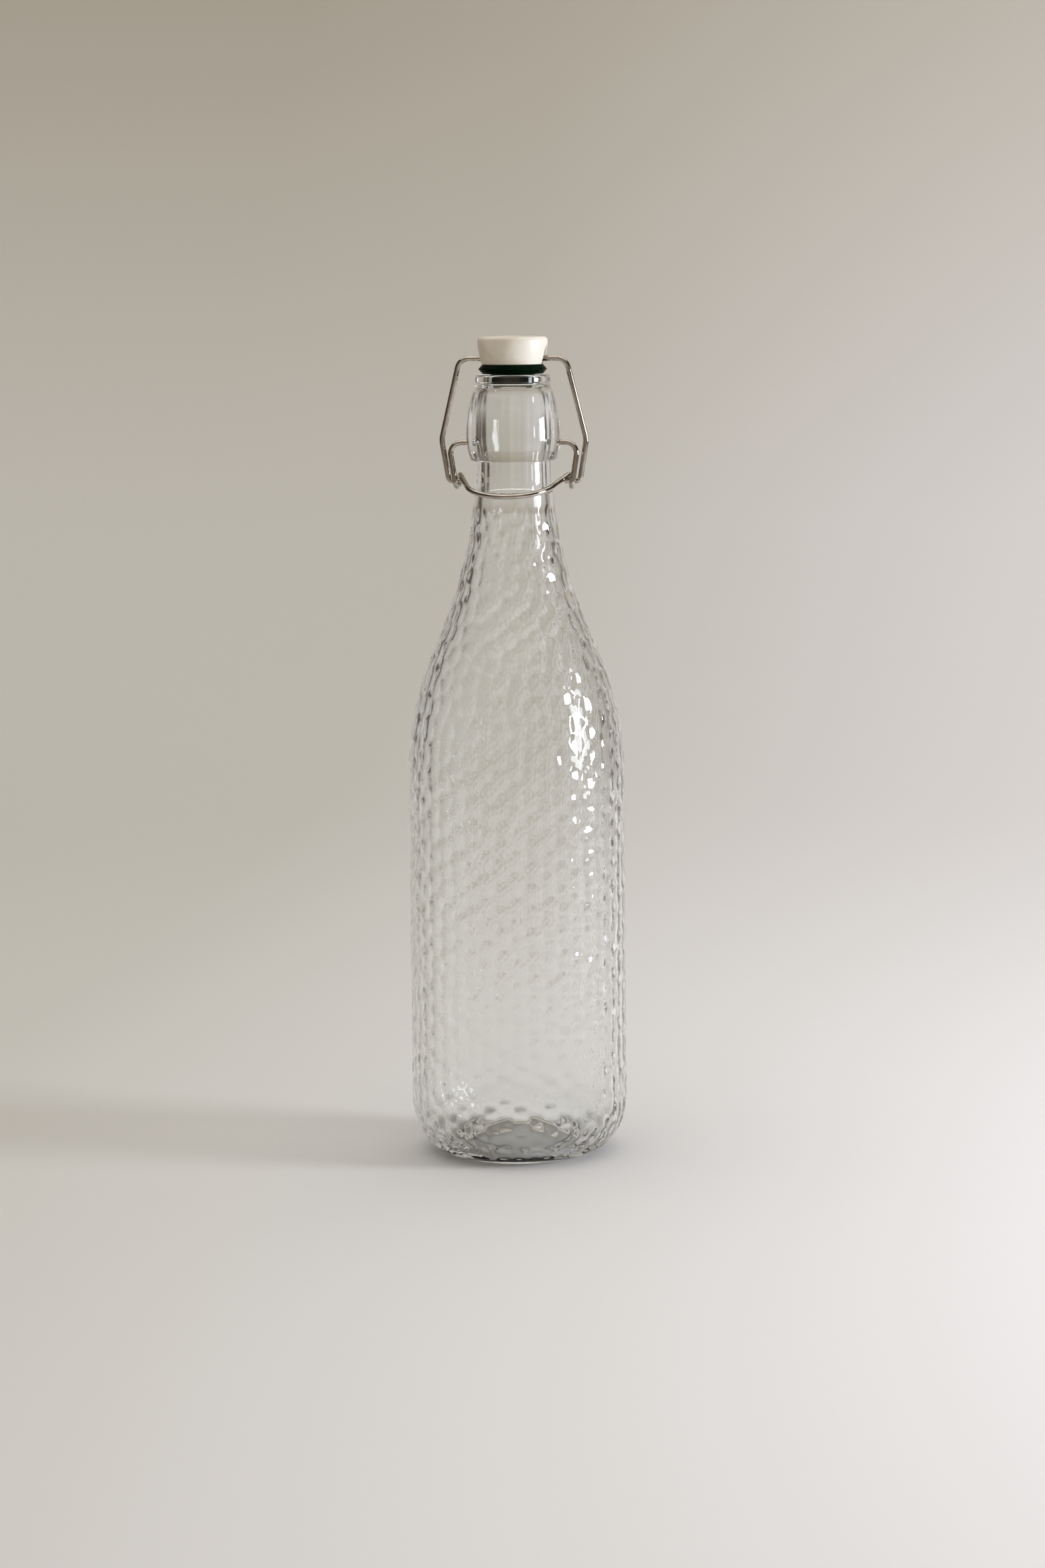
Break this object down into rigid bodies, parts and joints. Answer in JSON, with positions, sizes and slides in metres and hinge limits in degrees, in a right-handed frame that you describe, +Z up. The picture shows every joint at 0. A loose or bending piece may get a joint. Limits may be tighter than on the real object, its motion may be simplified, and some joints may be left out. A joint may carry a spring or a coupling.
{
  "type": "swing-top glass bottle",
  "caption": "Clear dimpled glass water bottle with a swing-top closure: stopper, rubber gasket, wire bail and wire lever.",
  "frame": {"origin": "centre of the base, in the plane of the ring the bottle stands on", "axes": "+Z up along the bottle's axis, -Y towards the closure's handle, X along the closure's pivots"},
  "size_m": [0.084, 0.084, 0.3171],
  "materials": {
    "clear_glass": "polished",
    "white_stopper": "gloss",
    "green_rubber": "satin",
    "bright_wire": "polished"
  },
  "bodies": {
    "glass": {"bottle": "clear_glass"},
    "lever_wire": {"lever": "bright_wire"},
    "bail_wire": {"bail": "bright_wire"},
    "plug": {"stopper": "white_stopper", "gasket": "green_rubber"}
  },
  "joints": [
    {"name": "lever_pivot", "type": "hinge", "parent": "glass", "child": "lever_wire", "pos_m": [0, 0, 0.2765], "axis": [-1, 0, 0], "range_deg": [0, 95]},
    {"name": "bail_pivot", "type": "hinge", "parent": "lever_wire", "child": "bail_wire", "pos_m": [0, 0.0022, 0.26165], "axis": [-1, 0, 0], "range_deg": [-70, 0]},
    {"name": "stopper_pivot", "type": "hinge", "parent": "bail_wire", "child": "plug", "pos_m": [0, 0, 0.30845], "axis": [-1, 0, 0], "range_deg": [-31, 0]}
  ],
  "couplings": [
    {"joint": "bail_pivot", "follows": "lever_pivot", "ratio": -0.72},
    {"joint": "stopper_pivot", "follows": "lever_pivot", "ratio": -0.32}
  ]
}
